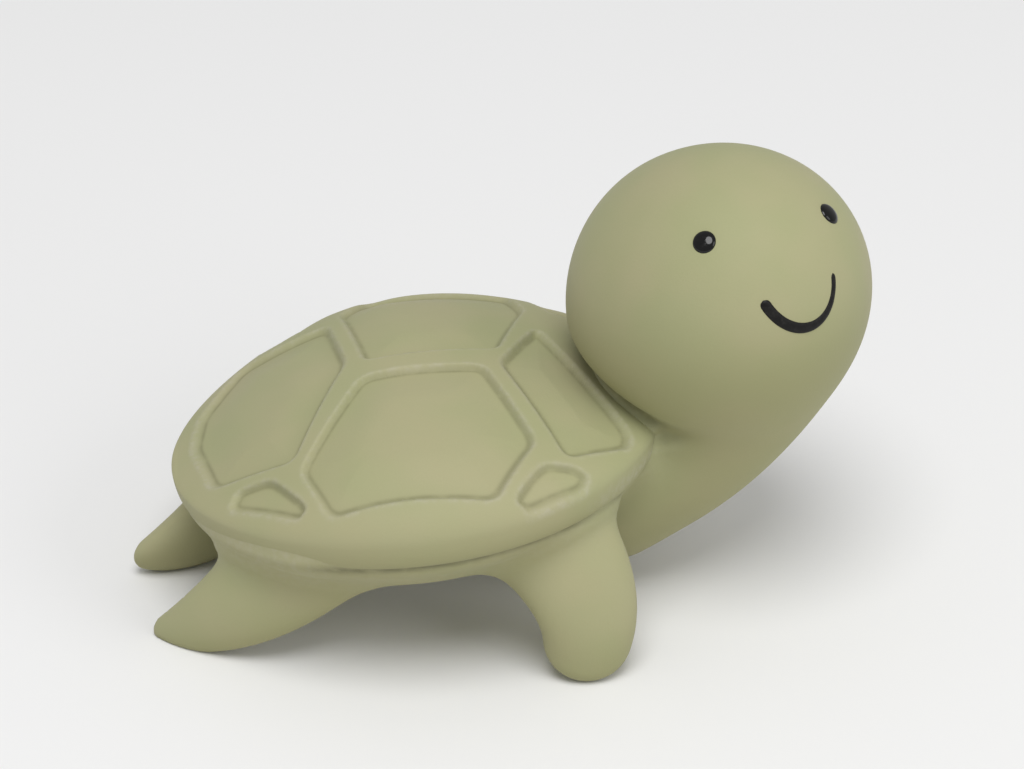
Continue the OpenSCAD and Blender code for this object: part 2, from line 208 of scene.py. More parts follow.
# %% Run a Geometry Nodes tree
def new_tree(name, **inputs):
    """An empty tree with one named input for each size, and the sockets of those inputs."""
    tree = bpy.data.node_groups.new(name, "GeometryNodeTree")
    tree.interface.new_socket("Geometry", in_out="OUTPUT", socket_type="NodeSocketGeometry")
    for label, value in inputs.items():
        kind = "NodeSocketObject" if isinstance(value, bpy.types.Object) else "NodeSocketFloat"
        tree.interface.new_socket(label, in_out="INPUT", socket_type=kind)
    source = tree.nodes.new("NodeGroupInput")
    return tree, {socket.name: Socket(tree, socket) for socket in source.outputs if socket.name}


def given(tree, kind, out=0):
    """What a node without inputs gives, such as a point's position or normal."""
    return Socket(tree, tree.nodes.new(kind).outputs[out])


def grow(name, tree, shape, material, inputs):
    """Runs the tree with these inputs, and keeps what it makes as a plain mesh object."""
    whole = shape.node("GeometryNodeRealizeInstances", sockets={"Geometry": shape})
    dressed = whole.node("GeometryNodeSetMaterial", sockets={"Geometry": whole, "Material": material})
    end = tree.nodes.new("NodeGroupOutput")
    tree.links.new(dressed.link, end.inputs[0])
    piece = bpy.data.objects.new(name, bpy.data.meshes.new(name))
    bpy.context.scene.collection.objects.link(piece)
    modifier = piece.modifiers.new(name, "NODES")
    modifier.node_group = tree
    for item in tree.interface.items_tree:
        if item.in_out == "INPUT":
            modifier[item.identifier] = inputs[item.name]
    graph = bpy.context.evaluated_depsgraph_get()
    mesh = bpy.data.meshes.new_from_object(piece.evaluated_get(graph), depsgraph=graph)
    piece.modifiers.remove(modifier)
    piece.data = mesh
    mesh.name = name
    return piece


print("trees can be grown into meshes")

# %% [markdown]
# A finished mesh should be closed and face outwards. Counting the edges that don't join exactly two faces
# shows any hole, and the volume inside is below zero where the faces point inwards.

# %% Measure a piece
CM = 10 * MM


def measure(piece):
    """Prints triangles, open edges and the enclosed volume in cubic centimetres."""
    shape = bmesh.new()
    shape.from_mesh(piece.data)
    open_edges = sum(not edge.is_manifold for edge in shape.edges)
    volume = shape.calc_volume(signed=True) / CM ** 3
    triangles = sum(len(face.verts) - 2 for face in shape.faces)
    shape.free()
    print(piece.name, "triangles", triangles, "open edges", open_edges, "volume", round(volume, 2), "cm3")


print("pieces can be measured")

# %% [markdown]
# Every finish starts from a Principled shader and the object's own coordinates, so nothing slides when the
# toy is seen from another side. A few small functions stand for what finishes are mixed from: noise with
# spots of a real size, a tint between two colours, a value stored on the mesh, and a bump.

# %% Helpers for finishes
MIX_COLOURS = slice(6, 8)
MIX_RESULT = 2


def new_finish(name):
    """A material, its shader, and a socket to start sums from: the object's own coordinates."""
    material = bpy.data.materials.new(name)
    material.use_nodes = True
    tree = material.node_tree
    shader = next(node for node in tree.nodes if node.type == "BSDF_PRINCIPLED")
    place = given(tree, "ShaderNodeTexCoord", "Object")
    return material, shader, place


def feed(shader, **links):
    for name, value in links.items():
        socket = shader.inputs[name.replace("_", " ")]
        if isinstance(value, Socket):
            value.tree.links.new(value.link, socket)
        else:
            socket.default_value = value


def noise(place, size, detail=2.0, rough=0.5):
    """Soft random values from 0 to 1, with spots of about the given size in millimetres."""
    return place.node("ShaderNodeTexNoise", sockets={"Vector": place, "Scale": 1 / (size * MM),
                                                     "Detail": detail, "Roughness": rough})


def tint(share, a, b):
    """From colour a to colour b as the share goes from 0 to 1.

    A Mix node has sockets for each kind of value under the same names, so its colours go by number."""
    mixed = share.node("ShaderNodeMix", {"data_type": "RGBA"}, {"Factor": share}, out=MIX_RESULT)
    for socket, value in zip(mixed.link.node.inputs[MIX_COLOURS], (a, b)):
        if isinstance(value, Socket):
            share.tree.links.new(value.link, socket)
        else:
            socket.default_value = (*value, 1)
    return mixed


def stored(place, name):
    """A value that the mesh carries at its points."""
    return place.node("ShaderNodeAttribute", {"attribute_name": name}, out="Fac")


def bump(height, strength, distance):
    return height.node("ShaderNodeBump", sockets={"Height": height, "Strength": strength,
                                                  "Distance": distance * MM})


print("helpers for finishes are ready")

# %% [markdown]
# Natural rubber of this kind is matte, a grey sage green that is slightly cloudy, with a very fine skin. A
# pale mark along the edges of the sunk panels is partly dust and partly a painted highlight, the creases get
# painted shade mixed with some dirt, and what faces the floor gets a painted olive shade. The meshes store
# where those places are in three attributes, bloom, crease and under, and the
# finish mixes each into the colour through noise.

# %% Rubber finish
SAGE = (0.362, 0.360, 0.202)
SAGE_COOL = (0.345, 0.352, 0.186)
SAGE_WARM = (0.378, 0.360, 0.205)
# a pale mark that is partly dust and partly a painted highlight
DUST_AND_HIGHLIGHT_PALE = (0.50, 0.47, 0.42)
# painted shade in the creases, mixed with some dirt
CREASE_SHADE_AND_DIRT = (0.13, 0.125, 0.06)
# painted shade: a darker olive for surfaces that face down
UNDER_SHADE_OLIVE = (0.30, 0.285, 0.125)
CLOUD_SIZE = 22
PATCH_SIZE = 7
GRAIN_SIZE = 0.45
DUST_AND_HIGHLIGHT_NOISE_SIZE = 1.4
SHADE_AND_DIRT_NOISE_SIZE = 3.0
CLOUD_RANGE = (0.35, 0.65)
PATCH_RANGE = (0.3, 0.75)
DUST_AND_HIGHLIGHT_NOISE_RANGE = (0.38, 0.68)
SHADE_AND_DIRT_NOISE_RANGE = (0.25, 0.6)
PATCH_SHARE = 0.35
UNDER_SHADE_SHARE = 0.55
DUST_AND_HIGHLIGHT_SHARE = 0.6
CREASE_SHADE_AND_DIRT_SHARE = 0.75
DUST_AND_HIGHLIGHT_NOISE_LEAST = 0.25
SHADE_AND_DIRT_NOISE_LEAST = 0.5
RUBBER_ROUGH = 0.56
RUBBER_ROUGH_SPAN = 0.12
PATCH_BUMP_SHARE = 0.5
SKIN_BUMP = 0.25
SKIN_BUMP_HEIGHT = 0.12


def rubber_finish():
    material, shader, place = new_finish("sage rubber")
    clouds = noise(place, CLOUD_SIZE)
    patches = noise(place, PATCH_SIZE, detail=3.0)
    grain = noise(place, GRAIN_SIZE, detail=3.0, rough=0.6)
    base = tint(clouds.rise(*CLOUD_RANGE), SAGE_COOL, SAGE_WARM)
    base = tint(patches.rise(*PATCH_RANGE) * PATCH_SHARE, base, SAGE)
    # painted shade: surfaces that face down are tinted darker olive
    base = tint(stored(place, "under") * UNDER_SHADE_SHARE, base, UNDER_SHADE_OLIVE)
    dust_and_highlight_noise = noise(place, DUST_AND_HIGHLIGHT_NOISE_SIZE, detail=4.0, rough=0.65).rise(*DUST_AND_HIGHLIGHT_NOISE_RANGE)
    patchy_dust_and_highlight = dust_and_highlight_noise * (1 - DUST_AND_HIGHLIGHT_NOISE_LEAST) + DUST_AND_HIGHLIGHT_NOISE_LEAST
    # pale mark: partly dust, partly a painted highlight along the panel edges
    base = tint((stored(place, "bloom") * patchy_dust_and_highlight).clip() * DUST_AND_HIGHLIGHT_SHARE, base, DUST_AND_HIGHLIGHT_PALE)
    shade_and_dirt_noise = noise(place, SHADE_AND_DIRT_NOISE_SIZE, detail=3.0).rise(*SHADE_AND_DIRT_NOISE_RANGE)
    patchy_shade_and_dirt = shade_and_dirt_noise * (1 - SHADE_AND_DIRT_NOISE_LEAST) + SHADE_AND_DIRT_NOISE_LEAST
    # painted shade in the creases, made patchy like dirt
    base = tint((stored(place, "crease") * patchy_shade_and_dirt).clip() * CREASE_SHADE_AND_DIRT_SHARE, base, CREASE_SHADE_AND_DIRT)
    feed(shader, Base_Color=base, Roughness=patches * RUBBER_ROUGH_SPAN + RUBBER_ROUGH,
         Normal=bump(grain + patches * PATCH_BUMP_SHARE, SKIN_BUMP, SKIN_BUMP_HEIGHT),
         Specular_IOR_Level=0.22, Sheen_Weight=0.05, Sheen_Roughness=0.6)
    return material


sage_rubber = rubber_finish()
print("finish:", sage_rubber.name)

# %% [markdown]
# The head, neck, belly and flippers flow into each other with no seams. Joining separate meshes would leave
# creases, so the whole body is written as one depth: a number that is zero on the skin, below zero inside
# and above zero outside. Balls and tapered limbs have simple depths, and a smooth minimum melts them.

# %% Depths of simple forms
NEAREST_STEPS = 3


def oval(p, mid, radii):
    """Depth of an ellipsoid that lies along the axes of p."""
    rel = p - mid
    near = (rel / radii).length()
    steep = (rel / [r * r for r in radii]).length()
    return near * (near - 1.0) / steep


def through(t, values):
    """A smooth value along a limb: the first, middle and last are given."""
    first, middle, last = values
    return t * (4 * middle - 3 * first - last) + t * t * (2 * first - 4 * middle + 2 * last) + first


def off_spine(p, spine, widths):
    """The share of the way along a bent spine, and the offset from it to p.

    It starts at the foot of p on the straight line, and a few steps move it to the place from which a ball
    that rolls along the spine, growing as the widths say, comes nearest to p."""
    root, bow, tip = (Vector(point) for point in spine)
    first, middle, last = widths
    chord = tip - root
    t = (p - root).dot(chord / chord.length_squared).clip()
    for _ in range(NEAREST_STEPS):
        off = p - (t * (2 * (bow - root)) + t * t * (root - 2 * bow + tip) + root)
        ahead = t * (2 * (root - 2 * bow + tip)) + 2 * (bow - root)
        growth = t * (4 * first - 8 * middle + 4 * last) + (4 * middle - 3 * first - last)
        t = (t + (off.dot(ahead) + off.length() * growth) / ahead.dot(ahead)).clip()
    return t, p - (t * (2 * (bow - root)) + t * t * (root - 2 * bow + tip) + root)


def limb(p, spine, radii):
    """Depth of a round limb along a bent spine."""
    t, off = off_spine(p, spine, radii)
    return off.length() - through(t, radii)


def paddle(p, spine, widths, thin, facing):
    """Depth of a flat limb: a round one in a space that is stretched along the paddle's thickness."""
    root, bow, tip = (Vector(point) for point in spine)
    chord = tip - root
    normal = Vector(facing) - chord * (Vector(facing).dot(chord) / chord.length_squared)
    normal.normalize()
    extra = 1 / thin - 1
    pulled = [point + normal * (point - root).dot(normal) * extra for point in (root, bow, tip)]
    t, off = off_spine(p + (p - root).dot(normal) * (normal * extra), pulled, widths)
    near = off.length()
    steep = (off + off.dot(normal) * (normal * extra)).length()
    return (near - through(t, widths)) * near / steep


print("depths of ovals, limbs and paddles are ready")

# %% [markdown]
# The head is an egg: a ball whose front half is drawn out a little towards the face. The face looks up and
# aside, towards the camera. The neck leaves the belly low, under the shell's front edge, and swells upwards
# into the head. The places lie close to the frame's own head, and follow the photograph's outline.

# %% Head and neck
HEAD_MID = Vector((51.5, 2.0, 24.4))
HEAD_RADIUS = 25.15
FACE_REACH = 29.5
FACE_TURN = 60
FACE_LIFT = 36
NECK_SPINE = [(32.1, 2, -11.6), (55.5, 2, 2.3), (50.8, 5, 17.0)]
NECK_RADII = (15.8, 17.4, 22.6)
HEAD_SOFT = 10.5
aside = Matrix.Rotation(-math.radians(FACE_TURN), 3, "Z")
lifted = Matrix.Rotation(-math.radians(FACE_LIFT), 3, "Y")
to_face = aside @ lifted
face_ahead = to_face @ Vector((1, 0, 0))


def head_and_neck(p):
    rel = p - HEAD_MID
    ahead = rel.dot(face_ahead).most(0.0)
    head = (rel - ahead * (1 - HEAD_RADIUS / FACE_REACH) * face_ahead).length() - HEAD_RADIUS
    neck = limb(p, NECK_SPINE, NECK_RADII)
    return neck.soft_union(head, HEAD_SOFT)


print("the face looks along", [round(v, 2) for v in face_ahead])

# %% [markdown]
# Four paddles leave the belly: the front pair stands nearly upright and ends in round feet, the hind pair
# sweeps back and is not quite alike on both sides. Each has a bent spine from root to tip, half widths at
# its root, middle and tip, a thickness as a share of them, and the way that its flat side faces.

# %% Flippers
FRONT_WIDTHS = (11.0, 9.4, 7.7)
NEAR_HIND_WIDTHS = (11.0, 8.0, 3.2)
FAR_HIND_WIDTHS = (11.0, 9.8, 4.0)
FRONT_THIN = 0.54
HIND_THIN = 0.48
FRONT_FACING = (0.15, -1, 0.15)
HIND_FACING = (-0.3, -0.93, 0.35)
FRONT_SPINE = [(19, -22, -6), (28, -30, -14), (27, -29.5, -24.8)]
NEAR_HIND_SPINE = [(-17, -20, -8), (-30.9, -23, -22), (-44.6, -14.3, -30.9)]
FAR_HIND_SPINE = [(-17, 18, -8), (-33.5, 6.8, -23.5), (-47.8, 6.5, -27.8)]


def other_side(place):
    """The same place or direction on the turtle's other side."""
    x, y, z = place
    return x, -y, z


FLIPPERS = [
    (FRONT_SPINE, FRONT_WIDTHS, FRONT_THIN, FRONT_FACING),
    ([other_side(place) for place in FRONT_SPINE], FRONT_WIDTHS, FRONT_THIN, other_side(FRONT_FACING)),
    (NEAR_HIND_SPINE, NEAR_HIND_WIDTHS, HIND_THIN, HIND_FACING),
    (FAR_HIND_SPINE, FAR_HIND_WIDTHS, HIND_THIN, other_side(HIND_FACING))]


def flippers(p):
    first, *others = (paddle(p, *flipper) for flipper in FLIPPERS)
    for other in others:
        first = first.least(other)
    return first


print("flippers:", len(FLIPPERS))

# %% [markdown]
# The belly is a bowl under the shell, cut flat below, with shoulders that fill it out to the rim. Under it a
# round seat is sunk for the squeaker's flange, with a blind bore behind it. Both are written in the shell's
# own frame, which is tilted nose up.

# %% Belly and squeaker seat
BELLY_MID = Vector((-1, 0, -3.5))
BELLY_RADII = (39.5, 34.5, 16.7)
SHOULDER_RADII = (41.3, 37.2, 10.5)
SHOULDER_SOFT = 3.0
BELLY_SOLE = -20.0
BELLY_SOLE_SOFT = 1.5
SEAT_X = -6.0
FLANGE_RADIUS = 8.8
FLANGE_DEPTH = 1.3
FLANGE_SOFT = 0.3
BORE_RADIUS = 6.9
BORE_DEPTH = 15.4


def in_shell(p):
    """A place in the shell's own frame."""
    return p.xyz(p.dot(shell_ahead), p.part("Y"), p.dot(shell_up))


def belly(q):
    depth = oval(q, BELLY_MID, BELLY_RADII).soft_cut(BELLY_SOLE - q.part("Z"), BELLY_SOLE_SOFT)
    return depth.soft_union(oval(q, BELLY_MID, SHOULDER_RADII), SHOULDER_SOFT)


def squeaker_seat(q):
    off = (q * (1, 1, 0) - (SEAT_X, 0, 0)).length()
    up = q.part("Z") - BELLY_SOLE
    flange = (off - FLANGE_RADIUS).soft_cut(up - FLANGE_DEPTH, FLANGE_SOFT)
    bore = (off - BORE_RADIUS).most(up - BORE_DEPTH)
    return flange.least(bore)


print("belly sole", BELLY_SOLE, "mm and squeaker bore", BORE_DEPTH, "mm deep")

# %% [markdown]
# The shell is a low dome that falls away behind and before, on a rim that dips towards the tail. The body
# needs the dome's depth too, because the rubber swells up against the shell along the neck and the tail.

# %% The dome's depth
CROWN_LEAN = -0.13
REAR_FLAT = 0.92
FRONT_FLAT = 0.43
REAR_DROP = 1.7
TAIL_START = -15.0
TAIL_FULL = -23.0


def behind(x):
    """The share of the way from the shell's middle back to its tail end: zero in the front half."""
    return (x / -HALF_LENGTH).clip()


def crown(x):
    """How much of its height the dome keeps here. It is lower behind and before than in the middle."""
    back = behind(x)
    front = (x / HALF_LENGTH).clip()
    return (front - back) * CROWN_LEAN - back * back * REAR_FLAT - front * front * FRONT_FLAT + 1.0


def level(q):
    """Height over the rim's plane, which dips towards the tail."""
    back = behind(q.part("X"))
    return q.part("Z") + back * back * REAR_DROP


def dome_depth(q):
    up = level(q)
    tall = up.most(0.0) / crown(q.part("X")) + up.least(0.0)
    evened = q.xyz(q.part("X"), q.part("Y"), tall)
    return oval(evened, Vector((0, 0, 0)), (HALF_LENGTH, HALF_WIDTH, DOME_HEIGHT))


def at_tail(q):
    """1 in the rear part, where the rim flows into the hind flippers with no line."""
    return q.part("X").rise(TAIL_START, TAIL_FULL)


print("dome height", DOME_HEIGHT, "mm, rim dip at the tail", REAR_DROP, "mm")

# %% [markdown]
# Head and shell are moulded together, with a soft valley between them. The head is drawn in where it comes
# near the dome, and a steep nape stands under it. A collar just under the shell's skin gives the fillets
# something to lean on: it rises against the neck, and at the tail it covers the rim's foot.

# %% Valley and collar
NAPE_SPINE = [(43.5, 1.5, -4), (50.0, 1.5, 5), (49.8, 1.5, 14)]
NAPE_RADII = (12.6, 14.6, 16.2)
NAPE_SOFT = 6.0
PINCH = 4.2
PINCH_WIDTH = 5.0
PINCH_START = -2.0
RIM_TOP = 3.0
RIM_INSET = 0.7
COLLAR_INSET = 0.4
COLLAR_REACH = 4.6
COLLAR_TOUCH = 0.3
COLLAR_RISE = 3.2
TAIL_COVER = 0.45
TAIL_COVER_LOW = -3.2
TAIL_COVER_HIGH = -0.8


def pinched_neck(p, q):
    """Head and neck, drawn in over the shell's front edge, with a steep nape below."""
    pinch = dome_depth(q).bell(PINCH_WIDTH) * level(q).rise(PINCH_START, RIM_TOP) * PINCH
    return (head_and_neck(p) + pinch).soft_union(limb(p, NAPE_SPINE, NAPE_RADII), NAPE_SOFT)


def collar(q, neck):
    """A form just under the shell, for the fillets round it."""
    up = level(q)
    rise = neck.rise(COLLAR_REACH, COLLAR_TOUCH) * COLLAR_RISE
    inset = (neck - COLLAR_REACH).most(0.0) + COLLAR_INSET - rise
    inset = up.rise(0.0, RIM_TOP) * (inset - RIM_INSET) + RIM_INSET
    tail = up.rise(TAIL_COVER_LOW, TAIL_COVER_HIGH) * (2 * TAIL_COVER) - TAIL_COVER
    return dome_depth(q) + inset + at_tail(q) * up.rise(RIM_TOP, 0.0) * (tail - inset)


print("the collar reaches", COLLAR_REACH, "mm from the neck")

# %% [markdown]
# All depths are now put together into the body's own. The crease under the rim is a shallow groove that ends
# where a limb leaves the body, the fillet to the shell is widest at the flippers, and the floor cuts the
# soles flat. The belly stops under the shell, so a pressed back has room to sink.

# %% The body's depth
RIM_FOOT = -3.7
BELLY_LID = -1.5
CREASE_WIDTH = 1.1
LINE_WIDTH = 0.75
NECK_LINE_SHARE = 0.8
LIMB_CLEAR = 4.0
NECK_CREASE_WIDTH = 1.5
NECK_CREASE_LOW = 0.5
NECK_CREASE_HIGH = 4.0
FLIPPER_SOFT = 6
TRUNK_SOFT = 7.5
FILLET = 3.0
FLIPPER_FILLET = 5.0
TOP_FILLET = 1.5
SEAT_SOFT = 0.5
SOLE_SOFT = 0.6


def body_depth(p, q, groove):
    """The body's depth, and how strong the painted shade lines, with some dirt, under the rim and by the neck
    are here.
    """
    neck = pinched_neck(p, q)
    bowl = belly(q)
    paddles = flippers(p)
    under_rim = level(q) - RIM_FOOT
    off_limbs = (neck.least(paddles) - bowl).rise(0.0, LIMB_CLEAR) * (1.0 - at_tail(q))
    low = bowl + under_rim.bell(CREASE_WIDTH) * off_limbs * groove
    low = low.soft_union(paddles, FLIPPER_SOFT).most(q.part("Z") - BELLY_LID)
    edge = collar(q, neck)
    at_flippers = (paddles - bowl).rise(LIMB_CLEAR, 0.0)
    fillet = at_flippers * FLIPPER_FILLET + level(q).rise(0.0, RIM_TOP) * TOP_FILLET + FILLET
    depth = low.soft_union(neck, TRUNK_SOFT).soft_union(edge, fillet)
    depth = depth.soft_cut(squeaker_seat(q) * -1.0, SEAT_SOFT)
    depth = depth.soft_cut(p.part("Z") * -1.0 - FLOOR_DROP, SOLE_SOFT)
    # dark lines of painted shade, with some dirt, under the rim and by the neck
    rim_line = under_rim.bell(LINE_WIDTH) * off_limbs
    neck_line = (edge - neck).bell(NECK_CREASE_WIDTH) * q.part("Z").rise(NECK_CREASE_LOW, NECK_CREASE_HIGH)
    return depth, rim_line.most(neck_line * NECK_LINE_SHARE)


print("fillets from", FILLET, "to", FILLET + FLIPPER_FILLET + TOP_FILLET, "mm")

# %% [markdown]
# A Volume Cube fills a box with that depth, Volume to Mesh finds where it is zero, and one more step slides
# every point along its normal until its own depth is zero, which takes the grid's steps out of the skin.
# The same sums then say how near each point is to a crease, and that is stored for the finish as painted
# crease shade with some dirt, along with a pale band by the shell and painted shade on what faces down.

# %% Body skin
VOXEL = 0.75
OUTSIDE = -1.0
BODY_LOW = Vector((-55, -41, -33))
BODY_HIGH = Vector((83, 41, 53))
# a pale band on the body where it meets the shell, stronger at the tail
RIM_PALE_BAND_WIDTH = 3.0
RIM_PALE_BAND = 0.12
TAIL_PALE_BAND = 0.15
UNDER_LEAST = 0.35
UNDER_FULL = -0.5


def to_frame(shape):
    """Millimetres from the shell's middle become the frame's metres."""
    return shape.node("GeometryNodeTransform", sockets={"Geometry": shape, "Translation": shell_mid,
                                                        "Scale": (MM, MM, MM)})


def keep_value(shape, name, value):
    """Stores a value at each point, where the finish can read it."""
    return shape.node("GeometryNodeStoreNamedAttribute", {"data_type": "FLOAT", "domain": "POINT"},
                      {"Geometry": shape, "Name": name, "Value": value})


# painted shade: how much a point faces down, for the darker olive below
def under_shade(normal):
    return normal.part("Z").rise(UNDER_LEAST, UNDER_FULL)


def make_body():
    sizes = dict(Groove=0.35)
    tree, size = new_tree("body skin", **sizes)
    p = given(tree, "GeometryNodeInputPosition")
    q = in_shell(p)
    depth, crease = body_depth(p, q, size["Groove"])
    counts = [int(span / VOXEL) for span in BODY_HIGH - BODY_LOW]
    cube = depth.node("GeometryNodeVolumeCube", sockets={
        "Density": depth * -1.0, "Background": OUTSIDE, "Min": BODY_LOW, "Max": BODY_HIGH,
        "Resolution X": counts[0], "Resolution Y": counts[1], "Resolution Z": counts[2]})
    skin = cube.node("GeometryNodeVolumeToMesh", {"resolution_mode": "GRID"},
                     {"Volume": cube, "Threshold": 0.0})
    normal = given(tree, "GeometryNodeInputNormal")
    onto_skin = normal * (depth * -1.0)
    skin = skin.node("GeometryNodeSetPosition", sockets={"Geometry": skin, "Offset": onto_skin})
    # painted shade in the creases, with some dirt
    skin = keep_value(skin, "crease", crease)
    # a pale band on the body by the shell, stored with the dust and painted highlight
    bloom = dome_depth(q).bell(RIM_PALE_BAND_WIDTH) * (at_tail(q) * TAIL_PALE_BAND + RIM_PALE_BAND)
    skin = keep_value(skin, "bloom", bloom)
    # painted shade on what faces down
    skin = keep_value(skin, "under", under_shade(normal))
    skin = skin.node("GeometryNodeSetShadeSmooth", sockets={"Geometry": skin})
    return grow("body_skin", tree, to_frame(skin), sage_rubber, sizes)


body_skin = make_body()
measure(body_skin)

# %% [markdown]
# The back has sunk panels, the scutes: a large one on each side, one behind, one by the neck, and a small one
# at each corner. Their outlines are flat polygons with softened corners, written as shares of the shell's
# half length and half width and turned a little, as the moulding is.

# %% Scute outlines
NEAR_SHARES = [(-0.414, -0.626), (-0.286, -0.896), (0.361, -0.857),
               (0.51, -0.53), (0.292, -0.025), (-0.191, -0.095)]
FAR_SHARES = [(-0.186, 0.041), (0.343, 0.136), (0.43, 0.62), (0.34, 0.862), (-0.25, 0.9), (-0.35, 0.66)]
FRONT_SHARES = [(0.363, 0.02), (0.634, -0.583), (0.865, -0.418), (0.878, -0.338), (0.494, 0.395)]
REAR_SHARES = [(-0.276, 0.065), (-0.395, 0.52), (-0.78, 0.5), (-0.93, 0.16),
               (-0.937, -0.09), (-0.81, -0.475), (-0.453, -0.545)]
REAR_CORNER_SHARES = [(-0.69, 0.58), (-0.55, 0.598), (-0.388, 0.815), (-0.424, 0.85), (-0.718, 0.655)]
FRONT_CORNER_SHARES = [(0.543, 0.652), (0.645, 0.628), (0.71, 0.644),
                       (0.69, 0.705), (0.49, 0.858), (0.436, 0.838)]
SCUTE_TURN = -6
CORNER_CUT = 2.1
CORNER_LIMIT_SHARE = 0.3
CORNER_STEPS = 5


def mirrored(shares):
    return [(x, -y) for x, y in reversed(shares)]


def bend(corner_points, t):
    """A point on the smooth curve from the first to the last of three points."""
    a, b, c = corner_points
    return a * (1 - t) ** 2 + b * 2 * t * (1 - t) + c * t * t


def soft_corners(points):
    """Each corner of a polygon becomes a short curve."""
    soft = []
    for i, corner in enumerate(points):
        before = points[i - 1] - corner
        after = points[(i + 1) % len(points)] - corner
        start = corner + before * min(CORNER_LIMIT_SHARE, CORNER_CUT / before.length)
        end = corner + after * min(CORNER_LIMIT_SHARE, CORNER_CUT / after.length)
        soft += [bend((start, corner, end), k / CORNER_STEPS) for k in range(CORNER_STEPS + 1)]
    return soft


def scute_outlines():
    outlines = [NEAR_SHARES, FAR_SHARES, FRONT_SHARES, REAR_SHARES, REAR_CORNER_SHARES,
                mirrored(REAR_CORNER_SHARES), FRONT_CORNER_SHARES, mirrored(FRONT_CORNER_SHARES)]
    turn = Matrix.Rotation(math.radians(SCUTE_TURN), 3, "Z")
    points, faces = [], []
    for shares in outlines:
        ring = soft_corners([turn @ Vector((x * HALF_LENGTH, y * HALF_WIDTH, 0)) for x, y in shares])
        faces.append(range(len(points), len(points) + len(ring)))
        points += ring
    mesh = bpy.data.meshes.new("scute outlines")
    mesh.from_pydata(points, [], faces)
    outline = bpy.data.objects.new("scute_outlines", mesh)
    bpy.context.scene.collection.objects.link(outline)
    return outline


scute_plan = scute_outlines()
print("scutes:", len(scute_plan.data.polygons))

# %% [markdown]
# The shell follows a rule, so a Geometry Nodes grid is wrapped into it: one direction of the grid runs round
# the shell, and the other from the top over the dome, round the rolled rim and back in underneath. Wrapping
# turns the grid inside out, so its faces are flipped once the seam is merged.

# %% Wrap a grid into the shell
ROUND = 560
DOWN = 170
DOME_END = 0.86
ROLL_END = 0.94
ROLL_IN = 1.6
LIP_RISE = 0.9
REAR_LENGTH = 43.7
FRONT_BULGE = 0.004
REAR_BULGE = -0.017
CROWN_HEIGHT = 14.15
CROWN_POWER = 0.905
MIDDLE_STEP = 0.001


def wrapped_place(p):
    """Where a point of the flat grid goes on the shell."""
    turn = (p.part("X") + 0.5) * math.tau
    down = p.part("Y") + 0.5
    over = (down / DOME_END).clip() * (math.pi / 2)
    roll = ((down - DOME_END) / (ROLL_END - DOME_END)).clip() * (math.pi / 2)
    under = ((down - ROLL_END) / (1 - ROLL_END)).clip()
    roll_share = ROLL_IN / HALF_WIDTH
    reach = over.math("SINE") - roll_share * (1.0 - roll.math("COSINE")) - under * (1 - roll_share)
    lobes = (turn * 2.0).math("SINE")
    ahead = turn.math("COSINE")
    front = ahead.rise(-MIDDLE_STEP, MIDDLE_STEP)
    reach = reach * (lobes * lobes * (front * (FRONT_BULGE - REAR_BULGE) + REAR_BULGE) + 1.0)
    x = ahead * reach * (front * (HALF_LENGTH - REAR_LENGTH) + REAR_LENGTH)
    y = turn.math("SINE") * reach * HALF_WIDTH
    dome = over.math("COSINE").most(0.0).math("POWER", CROWN_POWER) * crown(x) * (CROWN_HEIGHT - LIP_RISE)
    dip = behind(x) * behind(x) * REAR_DROP
    return p.xyz(x, y, dome + LIP_RISE - roll.math("SINE") * (LIP_RISE - RIM_FOOT) - dip)


def wrapped_shell(start, p):
    grid = start.node("GeometryNodeMeshGrid", sockets={
        "Size X": 1.0, "Size Y": 1.0, "Vertices X": ROUND + 1, "Vertices Y": DOWN})
    shell = grid.node("GeometryNodeSetPosition", sockets={"Geometry": grid, "Position": wrapped_place(p)})
    shell = shell.node("GeometryNodeMergeByDistance", sockets={"Geometry": shell, "Distance": MM})
    return shell.node("GeometryNodeFlipFaces", sockets={"Mesh": shell})


print("shell grid:", ROUND, "by", DOWN)

# %% [markdown]
# Geometry Proximity measures how far each point is inside a scute, and the point is pushed in along the
# dome's normal. A panel has a sloped wall and a floor that swells again towards its middle, like a pillow. A
# shallow valley is pressed in along the neck. Stored for the finish are painted crease shade with some dirt,
# a pale mark beside the walls that is partly dust and partly a painted highlight, and painted shade below.

# %% Carapace
SHARP = 1000.0
PANEL_LOW = 0.5
PANEL_HIGH = 2.0
PILLOW_START = 0.5
PILLOW_FULL = 9.0
VALLEY_WIDTH = 1.5
VALLEY_LOW = -4.0
LIMB_NEAR = 1.0
LIMB_FAR = 5.0
CREASE_SHARE = 0.6
FOOT_LINE_WIDTH = 0.4
WALL_LINE_INSET = 0.55
WALL_LINE_WIDTH = 0.35
WALL_DUST_AND_HIGHLIGHT_OUTSET = 0.35
WALL_DUST_AND_HIGHLIGHT_WIDTH = 0.45
FOLD_DROP = 1.2
FOLD_WIDTH = 1.5
FOLD_START = 24.0
FOLD_FULL = 34.0
SHELL_DUST_AND_HIGHLIGHT = 0.45


def scute_depth(p, plan):
    """How far a place lies inside the nearest scute outline, below zero outside."""
    flat = p * (1, 1, 0)
    shape = plan.node("GeometryNodeObjectInfo", sockets={"Object": plan}, out="Geometry")
    edge, face = (shape.node("GeometryNodeProximity", {"target_element": element},
                             {0: shape, "Source Position": flat}, out="Distance")
                  for element in ("EDGES", "FACES"))
    inside = 1.0 - (face * SHARP).clip()
    return edge * inside - face


